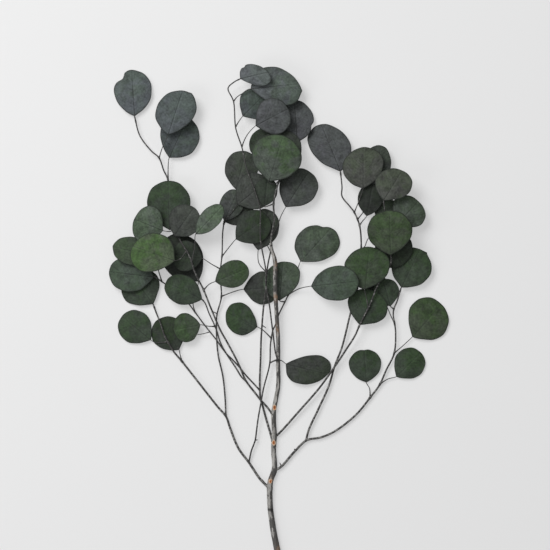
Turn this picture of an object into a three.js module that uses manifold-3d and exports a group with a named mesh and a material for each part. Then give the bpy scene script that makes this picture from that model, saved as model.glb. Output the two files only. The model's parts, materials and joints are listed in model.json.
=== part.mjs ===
// Eucalyptus branch, cut and preserved, lying on its back: a woody main stem with twelve leafy twigs.
// Units are millimetres. +Z is up, the branch lies on z = 0, and +Y runs from the cut end to the top leaves.
import * as THREE from 'three';
import { mergeGeometries, mergeVertices } from 'three/addons/utils/BufferGeometryUtils.js';
import Module from 'manifold-3d';

// Driving dimensions
const BLADE_THICKNESS = 0.8;
const JOINT_GAP = 0.3; // between the foot of a twig and the wood it grows from
const STALK_THICK = [1.5, 0.6]; // a leaf stalk, at the twig and at the blade
const STALK_REACH = 0.18; // how far the stalk runs into the blade, as a share of its length
const STEM_SIDES = 8;
const TWIG_SIDES = 5;
const STALK_SIDES = 4;
const RIM_POINTS = 16;
const BLADE_RINGS = 2;
const SMOOTH_WITHIN = 0.03; // slivers left by joining are smoothed away to within this
const ORIGIN_SHIFT = [-1.1, 1.6]; // brings the middle of the branch's box to x = y = 0

// Leaf form, as shares of half the blade's width or of its length
const CUSP = 0.3; // the point that the blade draws out to at its stalk
const CUSP_SPREAD = 0.42; // radians
const POINT_SPREAD = 0.5; // radians
const NOTCH_SPREAD = 0.2; // radians
const ARCH = 0.035;
const CUP = -0.05;
const WAVE = 0.012;

// Main stem: x, y, z and thickness of the wood from the cut end upwards
const MAIN_STEM = [
  [1, -324, 3.2, 7.8],
  [-3, -306, 3.2, 7.8],
  [-8, -279, 3.1, 7.4],
  [-11, -257, 2.9, 7],
  [-12, -232, 2.9, 7],
  [-11, -220, 2.9, 7],
  [-6, -205, 2.8, 6.6],
  [-7, -179, 2.6, 6],
  [-6, -158, 2.6, 6.2],
  [-7, -131, 2.5, 5.8],
  [-4, -114, 2.4, 5.6],
  [-1, -96, 2.4, 5.4],
  [-1, -66, 4.4, 5.2],
  [-1, -36, 6.8, 4.8],
  [-3, -2, 10.2, 5],
  [-5, 36, 13, 5.2],
  [-5, 66, 14, 5.4],
  [-9, 81, 14.8, 3.8],
  [-11, 90, 15.2, 3],
];

// Pruning scars on the upper side of the stem: plan places, and the size of one
const SCARS = [[-11, -220], [-7, -170], [-6, -124]];
const SCAR_WIDTH = 4.6;
const SCAR_LENGTH = 9;
const SCAR_HEIGHT = 4.2;

// Twigs, each with the wood it grows from, its own wood and its leaves.
// thick is the diameter at the foot and at the end. A leaf's stalk ends at the base of its blade.
// lean moves the left half of a blade towards its tip and the right half towards its stalk, as a share of
// its length, and point draws out its tip. notch is a tear in the rim: its place in radians from the tip,
// its depth and at times its spread.
const TWIGS = {
  left_outer_twig: {
    from: 'main_stem',
    wood: [
      {
        thick: [3.4, 1.9],
        route: [[-11, -230, 3], [-24, -218, 3], [-39, -196, 2.8], [-53, -177, 2.4], [-64, -150, 2.4],
          [-69, -136, 2.6], [-80, -123, 2.6], [-109, -86, 3.6], [-127, -63, 5], [-137, -51, 5.8],
          [-149, -30, 6.6], [-154, -15, 6.6], [-160, 0, 5], [-164, 11, 3.5]],
      },
      {
        thick: [1.9, 1.7],
        route: [[-17, -225, 3.4], [-22, -218, 4.4]],
      },
    ],
    leaves: [
      { stalk: [[-147, -39, 6.2], [-161, -39, 5], [-167, -36, 4]], tip: [-205, -5, 1.2], width: 43 },
      { stalk: [[-127, -63, 5], [-129, -54, 4.6], [-130, -49, 4]], tip: [-157, -9, 2], width: 43 },
      { stalk: [[-162, 6, 4.2], [-164, 11, 3.5]], tip: [-194, 51, 1.5], width: 52 },
    ],
  },
  left_climbing_twig: {
    from: 'left_outer_twig',
    wood: [
      {
        thick: [2.2, 1.7],
        route: [[-69, -136, 2.6], [-70, -114, 3], [-73, -84, 3], [-79, -57, 2.8], [-81, -36, 2.6],
          [-81, -5, 3], [-75, 20, 5], [-76, 42, 7], [-76, 56, 8], [-74, 74, 9.6], [-73, 105, 9.8],
          [-71, 119, 9.8]],
      },
      {
        thick: [1.2, 1],
        route: [[-81, -1, 3], [-86, 1, 3.6]],
      },
    ],
    leaves: [
      { stalk: [[-76, 56, 8], [-88, 63, 10], [-99, 70, 12]], tip: [-139, 76, 13], width: 40 },
      { stalk: [[-75, 20, 5], [-64, 25, 4], [-52, 29, 3], [-46, 30, 2.5]], tip: [0, 33, 1.6], width: 43 },
      { stalk: [[-74, 73, 9.6], [-66, 83, 12], [-56, 95, 14]], tip: [-14, 124, 15.4], width: 43 },
      { stalk: [[-72, 116, 9.8], [-71, 119, 10.4]], tip: [-53, 159, 9.2], width: 31 },
      { stalk: [[-72, 115, 9.8], [-70, 117, 8.6]], tip: [-35, 140, 5], width: 31 },
      { stalk: [[-71, 119, 9.8], [-62, 129, 12], [-54, 140, 13.6]], tip: [-14, 172, 14.8], width: 48 },
      { stalk: [[-66, 124, 10.6], [-59, 142, 8], [-56, 160, 5.6]], tip: [-43, 210, 3.4], width: 43 },
    ],
  },
  crossing_twig: {
    from: 'left_outer_twig',
    wood: [
      {
        thick: [2.1, 1.8],
        route: [[-39, -195, 2.8], [-36, -181, 4], [-31, -167, 4.6], [-29, -153, 5.4], [-27, -138, 6.4],
          [-24, -121, 7.6], [-20, -99, 7.2], [-12, -67, 6.2], [-11, -42, 4.6], [-8, -24, 3.2],
          [-4, -15, 2.3], [-1, -5, 2.3], [6, 10, 2.8], [14, 26, 3]],
      },
      {
        thick: [1.2, 1],
        route: [[-31, -167, 4.6], [-28, -166, 5.2]],
      },
    ],
    leaves: [
      { stalk: [[-10, -33, 4], [-21, -23, 3.3], [-28, -19, 3]], tip: [-69, 0, 2], width: 40, lean: -0.15 },
      { stalk: [[7, 14, 2.8], [1, 15, 4.6]], tip: [5, 66, 5.4], width: 48, lean: -0.2 },
      { stalk: [[13, 24, 3], [27, 31, 7], [41, 34, 12.5]], tip: [103, 41, 25], width: 45 },
      {
        stalk: [[13, 25, 3], [21, 45, 2], [26, 61, 3.5], [28, 66, 4.4]],
        tip: [68, 110, 2], width: 52, notch: [0.39, 0.1], lean: -0.2,
      },
    ],
  },
  straight_twig: {
    from: 'main_stem',
    wood: [
      {
        thick: [3, 1.9],
        route: [[-8, -174, 2.8], [-12, -155, 2.4], [-17, -138, 1.9], [-21, -123, 1.7],
          [-24, -113, 1.7], [-25, -91, 2.6], [-24, -64, 4.2], [-23, -32, 6.6], [-20, 7, 9.2],
          [-17, 30, 10.2], [-16, 49, 10.4], [-14, 64, 9.4], [-10, 82, 7.2]],
      },
      {
        thick: [1.2, 1],
        route: [[-22, -18, 7.4], [-17, -20, 8]],
      },
    ],
    leaves: [
      { stalk: [[-16, 51, 10.4], [-26, 64, 10], [-27, 81, 10]], tip: [-14, 134, 9.4], width: 40 },
      { stalk: [[-11, 80, 7.4], [-15, 87, 6.4]], tip: [-21, 132, 4.6], width: 35 },
    ],
  },
  left_low_twig: {
    from: 'straight_twig',
    wood: [
      {
        thick: [2.1, 1.5],
        route: [[-25, -102, 2.1], [-32, -94, 2.8], [-44, -81, 3.2], [-51, -72, 4.2], [-61, -61, 6.4],
          [-69, -53, 7.6], [-82, -35, 8], [-90, -25, 7.4], [-98, -15, 6.3], [-112, 4, 5.7],
          [-118, 12, 5.5], [-131, 27, 5.6], [-148, 37, 6.6], [-162, 47, 8]],
      },
      {
        thick: [1.2, 0.9],
        route: [[-90, -25, 7.4], [-99, -28, 6.4], [-106, -29, 5.6]],
      },
    ],
    leaves: [
      { stalk: [[-157, 44, 7.6], [-162, 46, 8]], tip: [-221, 53, 8], width: 46 },
      {
        stalk: [[-152, 40, 6.9], [-158, 58, 11], [-165, 73, 14]],
        tip: [-216, 86, 14.5], width: 36, point: 0.1,
      },
      { stalk: [[-110, 1, 5.7], [-112, 14, 4.6], [-105, 40, 3.6]], tip: [-144, 92, 2.4], width: 52 },
    ],
  },
  left_tall_twig: {
    from: 'main_stem',
    wood: [
      {
        thick: [2.7, 1.7],
        route: [[-9, -134, 2.9], [-15, -124, 4], [-24, -114, 4.9], [-31, -105, 5.3], [-43, -89, 6.4],
          [-53, -66, 9], [-66, -41, 11], [-76, -23, 12.4], [-88, 5, 14.4], [-98, 30, 16.3],
          [-109, 52, 18], [-116, 73, 18], [-128, 93, 14.4], [-138, 112, 9.4], [-144, 140, 8],
          [-144, 171, 8], [-150, 185, 8], [-156, 201, 8], [-166, 210, 8], [-181, 230, 7],
          [-188, 255, 5.6]],
      },
    ],
    leaves: [
      { stalk: [[-98, 30, 16.3], [-90, 37, 14.4], [-83, 40, 13]], tip: [-40, 58, 12], width: 35 },
      { stalk: [[-113, 66, 18], [-109, 85, 20], [-108, 101, 22]], tip: [-73, 138, 30], width: 26 },
      {
        stalk: [[-119, 80, 17], [-127, 70, 23], [-134, 67, 27]],
        tip: [-189, 86, 28.5], width: 53, lean: 0.15,
      },
      { stalk: [[-130, 99, 13.2], [-135, 101, 19]], tip: [-110, 136, 25], width: 40 },
      { stalk: [[-136, 108, 10.6], [-142, 105, 15], [-150, 106, 17.6]], tip: [-187, 121, 25], width: 49 },
      { stalk: [[-139, 116, 9.2], [-142, 112, 12]], tip: [-144, 171, 14], width: 56 },
      {
        stalk: [[-144, 173, 8], [-144, 193, 7], [-143, 201, 6]],
        tip: [-118, 255, 2.4], width: 53, lean: 0.1,
      },
      {
        stalk: [[-156, 201, 8], [-154, 207, 9.4], [-151, 215, 12], [-144, 230, 15.4]],
        tip: [-125, 288, 15], width: 52, lean: -0.15,
      },
      {
        stalk: [[-186, 250, 5.8], [-188, 255, 5.4]],
        tip: [-192, 316, 0.7], width: 49, notch: [0.72, 0.22, 0.32],
      },
    ],
  },
  left_short_twig: {
    from: 'left_tall_twig',
    wood: [
      {
        thick: [2.1, 1.6],
        route: [[-42, -90, 6.2], [-48, -85, 5.8], [-57, -71, 5], [-69, -53, 4.5], [-76, -40, 5],
          [-81, -24, 6], [-85, -14, 6.8], [-91, -1, 8], [-96, 12, 9], [-100, 17, 9.4]],
      },
    ],
    leaves: [
      { stalk: [[-84, -19, 6.4], [-92, -18, 8.4], [-102, -16, 9.2]], tip: [-137, -23, 9], width: 38 },
      { stalk: [[-99, 15, 9.2], [-100, 17, 9.4]], tip: [-147, 40, 10], width: 38 },
    ],
  },
  centre_twig: {
    from: 'crossing_twig',
    wood: [
      {
        thick: [1.7, 1.5],
        route: [[-12, -66, 6.2], [-6, -63, 8.2], [-1, -62, 8.9]],
      },
      {
        thick: [2, 1.6],
        route: [[-1, -62, 8.9], [-4, -55, 9], [-6, -41, 9.2], [-10, -9, 11], [-12, 7, 12.4],
          [-17, 38, 15.2], [-17, 54, 16.6], [-22, 82, 19.6], [-24, 95, 20.8], [-24, 120, 22.2],
          [-24, 132, 22.6], [-31, 157, 22.2], [-42, 187, 19.6], [-48, 214, 17], [-56, 239, 15],
          [-59, 274, 13], [-66, 291, 13.6], [-58, 299, 15.4], [-50, 303, 17]],
      },
    ],
    leaves: [
      { stalk: [[-1, -62, 8.9], [4, -63, 8.4], [9, -67, 7]], tip: [64, -80, 2], width: 42, lean: 0.25 },
      {
        stalk: [[-54, 301, 16], [-50, 303, 17]],
        tip: [-14, 311, 24], width: 32, notch: [1.96, 0.12], lean: -0.45,
      },
      {
        stalk: [[-59, 274, 13], [-54, 280, 13.6], [-46, 285, 14.4], [-37, 290, 15]],
        tip: [28, 297, 15], width: 52, lean: -0.3,
      },
      { stalk: [[-56, 240, 15], [-52, 248, 14], [-47, 255, 12.4]], tip: [-18, 284, 9], width: 43 },
      {
        stalk: [[-48, 215, 17], [-44, 225, 18], [-39, 233, 19], [-30, 242, 20]],
        tip: [12, 264, 22], width: 48,
      },
    ],
  },
  leader_twig: {
    from: 'main_stem',
    wood: [
      {
        thick: [2.6, 1.8],
        route: [[-10, 86, 15], [-10, 99, 16.4], [-6, 120, 18.4], [-7, 140, 20.4], [-4, 157, 21.4],
          [1, 172, 20.4], [9, 186, 14], [17, 202, 10.6], [24, 221, 8.6]],
      },
    ],
    leaves: [
      {
        stalk: [[-10, 97, 16.2], [-1, 115, 14], [3, 126, 13], [9, 137, 12]],
        tip: [39, 184, 8], width: 49, lean: -0.05,
      },
      { stalk: [[-7, 140, 20.4], [-19, 137, 19]], tip: [-15, 175, 18.4], width: 30 },
      { stalk: [[0, 170, 20.8], [-6, 166, 25], [-13, 169, 29]], tip: [5, 228, 33], width: 65 },
      { stalk: [[3, 177, 18.6], [9, 181, 17]], tip: [-5, 236, 14], width: 57 },
      { stalk: [[15, 198, 11.4], [4, 207, 8.6], [-9, 215, 7.4]], tip: [-37, 227, 6.4], width: 36 },
      {
        stalk: [[22, 218, 8.9], [24, 221, 8.4]],
        tip: [20, 277, 0.9], width: 47, notch: [-1.96, 0.1], lean: 0.1,
      },
    ],
  },
  right_outer_twig: {
    from: 'main_stem',
    wood: [
      {
        thick: [3.4, 1.7],
        route: [[-6, -207, 3], [2, -202, 3.2], [20, -182, 3.2], [36, -167, 3.4], [55, -163, 3.2],
          [73, -155, 3], [101, -133, 3], [119, -111, 3], [131, -95, 3.3], [140, -75, 3.7],
          [150, -54, 4.5], [152, -26, 5.6], [149, 1, 6.2], [154, 15, 6.8], [159, 32, 8]],
      },
      {
        thick: [1.3, 1.1],
        route: [[3, -201, 3.2], [1, -196, 4.4]],
      },
      {
        thick: [1.3, 1.1],
        route: [[22, -180, 3.2], [20, -178, 4.2]],
      },
    ],
    leaves: [
      {
        stalk: [[119, -111, 3], [118, -99, 3], [114, -92, 3]],
        tip: [111, -48, 1.2], width: 42, notch: [0, 0.08],
      },
      { stalk: [[132, -94, 3.3], [142, -87, 3], [153, -84, 3]], tip: [185, -52, 1.2], width: 40 },
      {
        stalk: [[150, -54, 4.5], [160, -45, 4], [174, -32, 3.5]],
        tip: [213, 10, 1.3], width: 56, lean: -0.05,
      },
      { stalk: [[150, -14, 5.9], [146, -5, 5.2], [141, 7, 3.6]], tip: [118, 42, 1.4], width: 42 },
      { stalk: [[149, 4, 6.3], [145, 8, 6.2]], tip: [135, 43, 5], width: 34 },
      { stalk: [[158, 28, 7.8], [159, 32, 8.4]], tip: [183, 82, 8.4], width: 53 },
    ],
  },
  right_inner_twig: {
    from: 'right_outer_twig',
    wood: [
      {
        thick: [2.9, 1.7],
        route: [[35, -168, 3.4], [39, -153, 3.8], [51, -127, 4], [65, -96, 4], [73, -69, 4.2],
          [82, -46, 4.6], [93, -2, 5.6], [100, 23, 6.6], [103, 35, 8], [105, 58, 9.6], [107, 84, 10],
          [105, 112, 10], [98, 130, 10], [92, 138, 10], [82, 151, 10], [82, 163, 10], [80, 183, 9.6]],
      },
    ],
    leaves: [
      {
        stalk: [[98, 130, 10], [102, 140, 12], [109, 160, 17]],
        tip: [109, 214, 19], width: 53, lean: -0.1,
      },
      { stalk: [[105, 113, 10], [109, 119, 11], [114, 125, 12]], tip: [122, 167, 11], width: 32 },
      {
        stalk: [[107, 82, 10], [111, 85, 9.8], [116, 96, 9], [131, 112, 7.6]],
        tip: [156, 142, 5.4], width: 44,
      },
      { stalk: [[102, 120, 10], [111, 133, 8.4], [116, 155, 8.6]], tip: [133, 217, 9.2], width: 39 },
      { stalk: [[80, 179, 9.7], [80, 183, 9.4]], tip: [55, 245, 0.8], width: 51, lean: 0.2 },
    ],
  },
  right_upper_twig: {
    from: 'main_stem',
    wood: [
      {
        thick: [2.9, 1.5],
        route: [[-6, -163, 3], [2, -156, 3.8], [27, -128, 5], [53, -98, 6.6], [73, -70, 8],
          [89, -46, 9.2], [99, -30, 10.4], [105, -16, 12], [110, -6, 12.8], [119, 12, 14],
          [128, 35, 15.2], [139, 52, 17], [145, 64, 20], [143, 88, 22], [139, 118, 23],
          [135, 145, 23.4]],
      },
    ],
    leaves: [
      { stalk: [[104, -19, 11.6], [105, -16, 10]], tip: [124, 28, 9.6], width: 53 },
      {
        stalk: [[116, 6, 13.6], [114, 17, 15.6], [111, 29, 18]],
        tip: [117, 85, 22], width: 58, lean: -0.08,
      },
      { stalk: [[145, 63, 19.8], [145, 69, 23.6], [144, 74, 26.6]], tip: [142, 132, 31], width: 58 },
      {
        stalk: [[142, 94, 22.2], [138, 99, 18], [135, 106, 15]],
        tip: [160, 61, 12.6], width: 51, point: 0.06,
      },
      { stalk: [[141, 103, 22.6], [147, 112, 18], [154, 115, 14]], tip: [181, 145, 12], width: 47 },
      { stalk: [[135, 141, 23.4], [135, 145, 23.4]], tip: [159, 184, 26], width: 46, lean: -0.15 },
    ],
  },
};

const wasm = await Module();
wasm.setup();
const { Manifold, Mesh } = wasm;

const BARK = { color: 0x6f6d69, roughness: 0.85, metalness: 0 };
const LEAF = { color: 0x3f5345, roughness: 0.6, metalness: 0 };

const vector = ([x, y, z]) => new THREE.Vector3(x, y, z);

// A closed geometry as a solid: its shared corners are merged and its empty triangles dropped.
function solidOf(geometry) {
  geometry.deleteAttribute('normal');
  geometry.deleteAttribute('uv');
  const merged = mergeVertices(geometry, 1e-4);
  const corners = merged.index.array;
  const triVerts = [];
  for (let i = 0; i < corners.length; i += 3) {
    const [a, b, c] = corners.slice(i, i + 3);
    if (a !== b && b !== c && c !== a) triVerts.push(a, b, c);
  }
  return new Manifold(
    new Mesh({
      numProp: 3,
      vertProperties: merged.attributes.position.array,
      triVerts: new Uint32Array(triVerts),
    }),
  );
}

const curveOf = (route) => new THREE.CatmullRomCurve3(route.map(vector), false, 'centripetal');

// The point of the curves that lies nearest to a place, so that what grows there starts inside the wood.
function nearestOn(curves, place) {
  let best = null;
  for (const curve of curves) {
    const steps = curve.points.length * 12;
    for (let i = 0; i <= steps; i += 1) {
      const point = curve.getPoint(i / steps);
      const distance = point.distanceTo(place);
      if (!best || distance < best.distance) best = { point, distance };
    }
  }
  return best.point.toArray();
}

// Wood along a curve: a cylinder bent to it, with thicknessAt giving the diameter from 0 to 1 along it.
function tube(curve, thicknessAt, sides, steps) {
  const geometry = new THREE.CylinderGeometry(1, 1, 1, sides, steps);
  const position = geometry.attributes.position;
  const up = new THREE.Vector3(0, 0, 1);
  for (let i = 0; i < position.count; i += 1) {
    const share = THREE.MathUtils.clamp(position.getY(i) + 0.5, 0, 1);
    const forward = curve.getTangent(share);
    const side = new THREE.Vector3().crossVectors(forward, up).normalize();
    const over = new THREE.Vector3().crossVectors(side, forward);
    const radius = thicknessAt(share) / 2;
    const point = curve.getPoint(share);
    point.addScaledVector(side, position.getX(i) * radius);
    point.addScaledVector(over, position.getZ(i) * radius);
    position.setXYZ(i, point.x, point.y, point.z);
  }
  return solidOf(geometry);
}

const taper = ([foot, end], extra = 0) => (share) => foot + (end - foot) * share + extra;

// The main stem. With extra it is that much thicker, and as much longer at its upper end.
function mainStemTube(extra = 0) {
  const route = MAIN_STEM.map(([x, y, z]) => [x, y, z]);
  const last = route.length - 1;
  const [end, below] = [vector(route[last]), vector(route[last - 1])];
  route[last] = end.addScaledVector(end.clone().sub(below).normalize(), extra / 2).toArray();
  const curve = curveOf(route);
  const thicknessAt = (share) => {
    const part = Math.min(Math.floor(share * last), last - 1);
    const [from, to] = [MAIN_STEM[part][3], MAIN_STEM[part + 1][3]];
    return from + (to - from) * (share * last - part) + extra;
  };
  return tube(curve, thicknessAt, STEM_SIDES, last);
}

// A pruning scar: the low oval stub of a shoot that was cut off, on the upper side of the stem.
function pruningScar([x, y]) {
  const foot = nearestOn([curveOf(MAIN_STEM)], new THREE.Vector3(x, y, 0));
  const geometry = new THREE.CylinderGeometry(0.9, 1, SCAR_HEIGHT, STEM_SIDES);
  geometry.rotateX(Math.PI / 2);
  geometry.scale(SCAR_WIDTH / 2, SCAR_LENGTH / 2, 1);
  geometry.translate(x, y, foot[2] + SCAR_HEIGHT / 2);
  return solidOf(geometry);
}

// The blade's edge at an angle round its middle, 0 at the tip and pi at the stalk, for a blade 2 wide.
function edgeReach(angle, { point = 0, notch }) {
  const fromTip = Math.abs(angle);
  let reach = 1 + CUSP * Math.exp((fromTip - Math.PI) / CUSP_SPREAD);
  reach += point * Math.exp(-fromTip / POINT_SPREAD);
  if (notch) {
    const [place, depth, spread = NOTCH_SPREAD] = notch;
    reach -= depth * Math.exp(-(((angle - place) / spread) ** 2));
  }
  return reach;
}

// The blade's middle surface: where a point of the unit disc comes to lie, and the way the blade faces there.
function bladeSurface(leaf) {
  const { tip, width, lean = 0, point = 0 } = leaf;
  const base = vector(leaf.stalk.at(-1));
  const axis = vector(tip).sub(base);
  const length = axis.length();
  axis.normalize();
  const side = new THREE.Vector3(0, 0, 1).cross(axis).normalize();
  const facing = new THREE.Vector3().crossVectors(axis, side);
  const phase = tip[0] * 0.31 + tip[1] * 0.17;
  return (radius, angle, lift) => {
    const reach = radius * edgeReach(angle, leaf);
    const across = reach * Math.sin(angle);
    const along = (reach * Math.cos(angle) + 1 + CUSP) / (2 + CUSP + point) + (lean * across) / 2;
    const height =
      ARCH * length * 4 * along * (1 - along) +
      (CUP * width * across * across) / 2 +
      WAVE * width * radius * radius * Math.sin(3 * angle + phase);
    return base
      .clone()
      .addScaledVector(axis, along * length)
      .addScaledVector(side, (across * width) / 2)
      .addScaledVector(facing, height + lift);
  };
}

// A blade: two alike discs joined at their rims, laid on the middle surface half a thickness apart.
function blade(leaf) {
  const over = new THREE.RingGeometry(0, 1, RIM_POINTS, BLADE_RINGS).translate(0, 0, 1);
  const under = new THREE.RingGeometry(0, 1, RIM_POINTS, BLADE_RINGS).translate(0, 0, -1);
  under.index.array.reverse();
  const rim = new THREE.CylinderGeometry(1, 1, 2, RIM_POINTS, 1, true).rotateX(Math.PI / 2);
  const geometry = mergeGeometries([over, under, rim]);
  const surface = bladeSurface(leaf);
  const position = geometry.attributes.position;
  for (let i = 0; i < position.count; i += 1) {
    const [x, y, face] = [position.getX(i), position.getY(i), position.getZ(i)];
    const spot = surface(Math.hypot(x, y), Math.atan2(y, x), (face * BLADE_THICKNESS) / 2);
    position.setXYZ(i, spot.x, spot.y, spot.z);
  }
  return solidOf(geometry);
}

// The stalk starts in the twig and ends inside the blade, along its midrib.
function stalk(leaf, woodCurves) {
  const route = leaf.stalk.map((place) => [...place]);
  route[0] = nearestOn(woodCurves, vector(route[0]));
  const inside = (1 - 2 * STALK_REACH) * (1 + CUSP);
  route.push(bladeSurface(leaf)(inside, Math.PI, 0).toArray());
  return tube(curveOf(route), taper(STALK_THICK), STALK_SIDES, route.length - 1);
}

// The curves of a twig's wood: the first starts in the wood that carries it, the others in the first.
function woodCurvesOf(name) {
  if (name === 'main_stem') return [curveOf(MAIN_STEM)];
  const { from, wood } = TWIGS[name];
  const routes = from === 'main_stem' ? [MAIN_STEM] : TWIGS[from].wood.map(({ route }) => route);
  const carrier = routes.map(curveOf);
  const own = [];
  for (const { route } of wood) {
    const start = nearestOn(own.length ? own : carrier, vector(route[0]));
    own.push(curveOf([start, ...route.slice(1)]));
  }
  return own;
}

function twigWood(name, extra = 0) {
  const curves = woodCurvesOf(name);
  return TWIGS[name].wood.map(({ thick }, i) =>
    tube(curves[i], taper(thick, extra), TWIG_SIDES, curves[i].points.length - 1),
  );
}

function twigSolid(name) {
  const { from, leaves } = TWIGS[name];
  const curves = woodCurvesOf(name);
  const pieces = [...twigWood(name), ...leaves.flatMap((leaf) => [stalk(leaf, curves), blade(leaf)])];
  const carrier = from === 'main_stem' ? [mainStemTube(2 * JOINT_GAP)] : twigWood(from, 2 * JOINT_GAP);
  const cut = Manifold.union(pieces).subtract(Manifold.union(carrier));
  const largest = cut.decompose().sort((a, b) => b.volume() - a.volume())[0];
  return largest.simplify(SMOOTH_WITHIN);
}

function mainStemSolid() {
  const ground = solidOf(new THREE.BoxGeometry(100, 1000, 20).translate(0, 0, -10));
  return Manifold.union([mainStemTube(), ...SCARS.map(pruningScar)]).subtract(ground);
}

function meshOf(name, solid, finish) {
  const { vertProperties, triVerts } = solid.getMesh();
  const geometry = new THREE.BufferGeometry();
  geometry.setAttribute('position', new THREE.BufferAttribute(vertProperties, 3));
  geometry.setIndex(new THREE.BufferAttribute(triVerts, 1));
  geometry.translate(ORIGIN_SHIFT[0], ORIGIN_SHIFT[1], 0);
  geometry.computeVertexNormals();
  const mesh = new THREE.Mesh(geometry, new THREE.MeshStandardMaterial(finish));
  mesh.name = name;
  return mesh;
}

const branch = new THREE.Group();
branch.add(meshOf('main_stem', mainStemSolid(), BARK));
for (const name of Object.keys(TWIGS)) branch.add(meshOf(name, twigSolid(name), LEAF));

export default branch;
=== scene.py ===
"""Eucalyptus branch: bark, twigs, leaves and studio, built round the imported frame.

The branch lies on z = 0 with its cut end towards -Y. Routes are in millimetres, as in the part's source,
and every mesh is in metres. Each twig of the frame is replaced by its wood and by its leaves. Ten blades,
the scars and the stem's thickness depart from the solids by a few millimetres, to cover the photo better.
"""

import json
import math
from typing import NamedTuple

import bmesh
import bpy
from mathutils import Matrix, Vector, noise

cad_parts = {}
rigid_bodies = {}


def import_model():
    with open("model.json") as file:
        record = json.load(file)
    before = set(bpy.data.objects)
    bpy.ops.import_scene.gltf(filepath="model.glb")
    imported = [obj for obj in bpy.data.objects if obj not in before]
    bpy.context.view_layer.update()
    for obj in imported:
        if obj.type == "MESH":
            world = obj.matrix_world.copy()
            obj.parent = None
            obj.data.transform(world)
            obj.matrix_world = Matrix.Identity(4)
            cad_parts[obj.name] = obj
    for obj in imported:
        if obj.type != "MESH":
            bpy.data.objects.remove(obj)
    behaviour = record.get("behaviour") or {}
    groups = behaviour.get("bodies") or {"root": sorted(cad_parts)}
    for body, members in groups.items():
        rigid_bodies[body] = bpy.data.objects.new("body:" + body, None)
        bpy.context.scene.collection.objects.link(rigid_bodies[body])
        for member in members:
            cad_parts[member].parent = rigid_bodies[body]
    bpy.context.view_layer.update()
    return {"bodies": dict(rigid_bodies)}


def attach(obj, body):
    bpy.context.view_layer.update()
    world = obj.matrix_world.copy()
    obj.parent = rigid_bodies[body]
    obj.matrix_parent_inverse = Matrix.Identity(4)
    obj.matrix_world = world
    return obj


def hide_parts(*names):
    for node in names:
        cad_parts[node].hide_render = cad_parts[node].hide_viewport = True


bl_info = {
    "name": "Eucalyptus branch",
    "version": (1, 0, 0),
    "blender": (4, 5, 0),
    "location": "View3D > Sidebar > Branch",
    "description": "Dresses a preserved eucalyptus branch with bark, twigs, veined leaves and a studio",
    "category": "Add Mesh",
}

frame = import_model()
BODY = next(iter(frame["bodies"]))

MM = 0.001
UP = Vector((0, 0, 1))

# Form that the solids have too, in millimetres, shares of a blade and radians
ORIGIN_SHIFT = Vector((-1.1, 1.6, 0))
STALK_THICK = (1.5, 0.6)
STALK_REACH = 0.18
CUSP = 0.3
CUSP_SPREAD = 0.42
POINT_SPREAD = 0.5
NOTCH_SPREAD = 0.2
ARCH = 0.035
CUP = -0.05
WAVE = 0.012

# Form of the scene alone: the spread of a small rim corner, and the scars by x, y, width and length
NIB_SPREAD = 0.12
SCARS = [(-11, -220, 5.4, 7), (-6.6, -170, 6.2, 8), (-5.6, -124, 6.0, 8.8)]
SCAR_TOP = 4.2


class Wood(NamedTuple):
    """A stretch of wood: its diameter at the foot and at the end, and its route."""

    thick: tuple
    route: list


class Leaf(NamedTuple):
    """A leaf: the stalk's route to the base of the blade, the blade's tip and width, and its look.

    lean moves the left half towards the tip and the right half towards the stalk, and point draws out
    the tip. notch is a tear: its place in radians from the tip, depth and spread. nib is a small corner
    of the rim: its place and height. flush is the share of fresh green.
    """

    stalk: list
    tip: tuple
    width: float
    tone: str
    lean: float = 0
    point: float = 0
    notch: tuple = ()
    nib: tuple = ()
    flush: float = 0.25


class Twig(NamedTuple):
    """A leafy twig: what carries it, its own wood and its leaves."""

    carrier: str
    wood: list
    leaves: list


# Places in the two tables were chosen on the photo, and a script turned them into millimetres
# Main stem: x, y, z and diameter from the cut end upwards
MAIN_STEM = [
    (1, -324, 3.2, 7.8),
    (-3, -306, 3.2, 7.8),
    (-8, -279, 3.1, 7.4),
    (-11, -257, 2.9, 7),
    (-12, -232, 2.9, 7),
    (-11, -220, 2.9, 7),
    (-6, -205, 2.8, 6.6),
    (-7, -179, 2.6, 6),
    (-6, -158, 2.6, 6.2),
    (-7, -131, 2.5, 5.8),
    (-4, -114, 2.4, 5.6),
    (-1, -96, 2.4, 5.4),
    (-1, -66, 4.4, 5.2),
    (-1, -36, 6.8, 4.8),
    (-3, -2, 10.2, 5),
    (-5, 36, 13, 5.2),
    (-5, 66, 14, 5.4),
    (-9, 81, 14.8, 3.8),
    (-11, 90, 15.2, 3),
]

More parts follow.
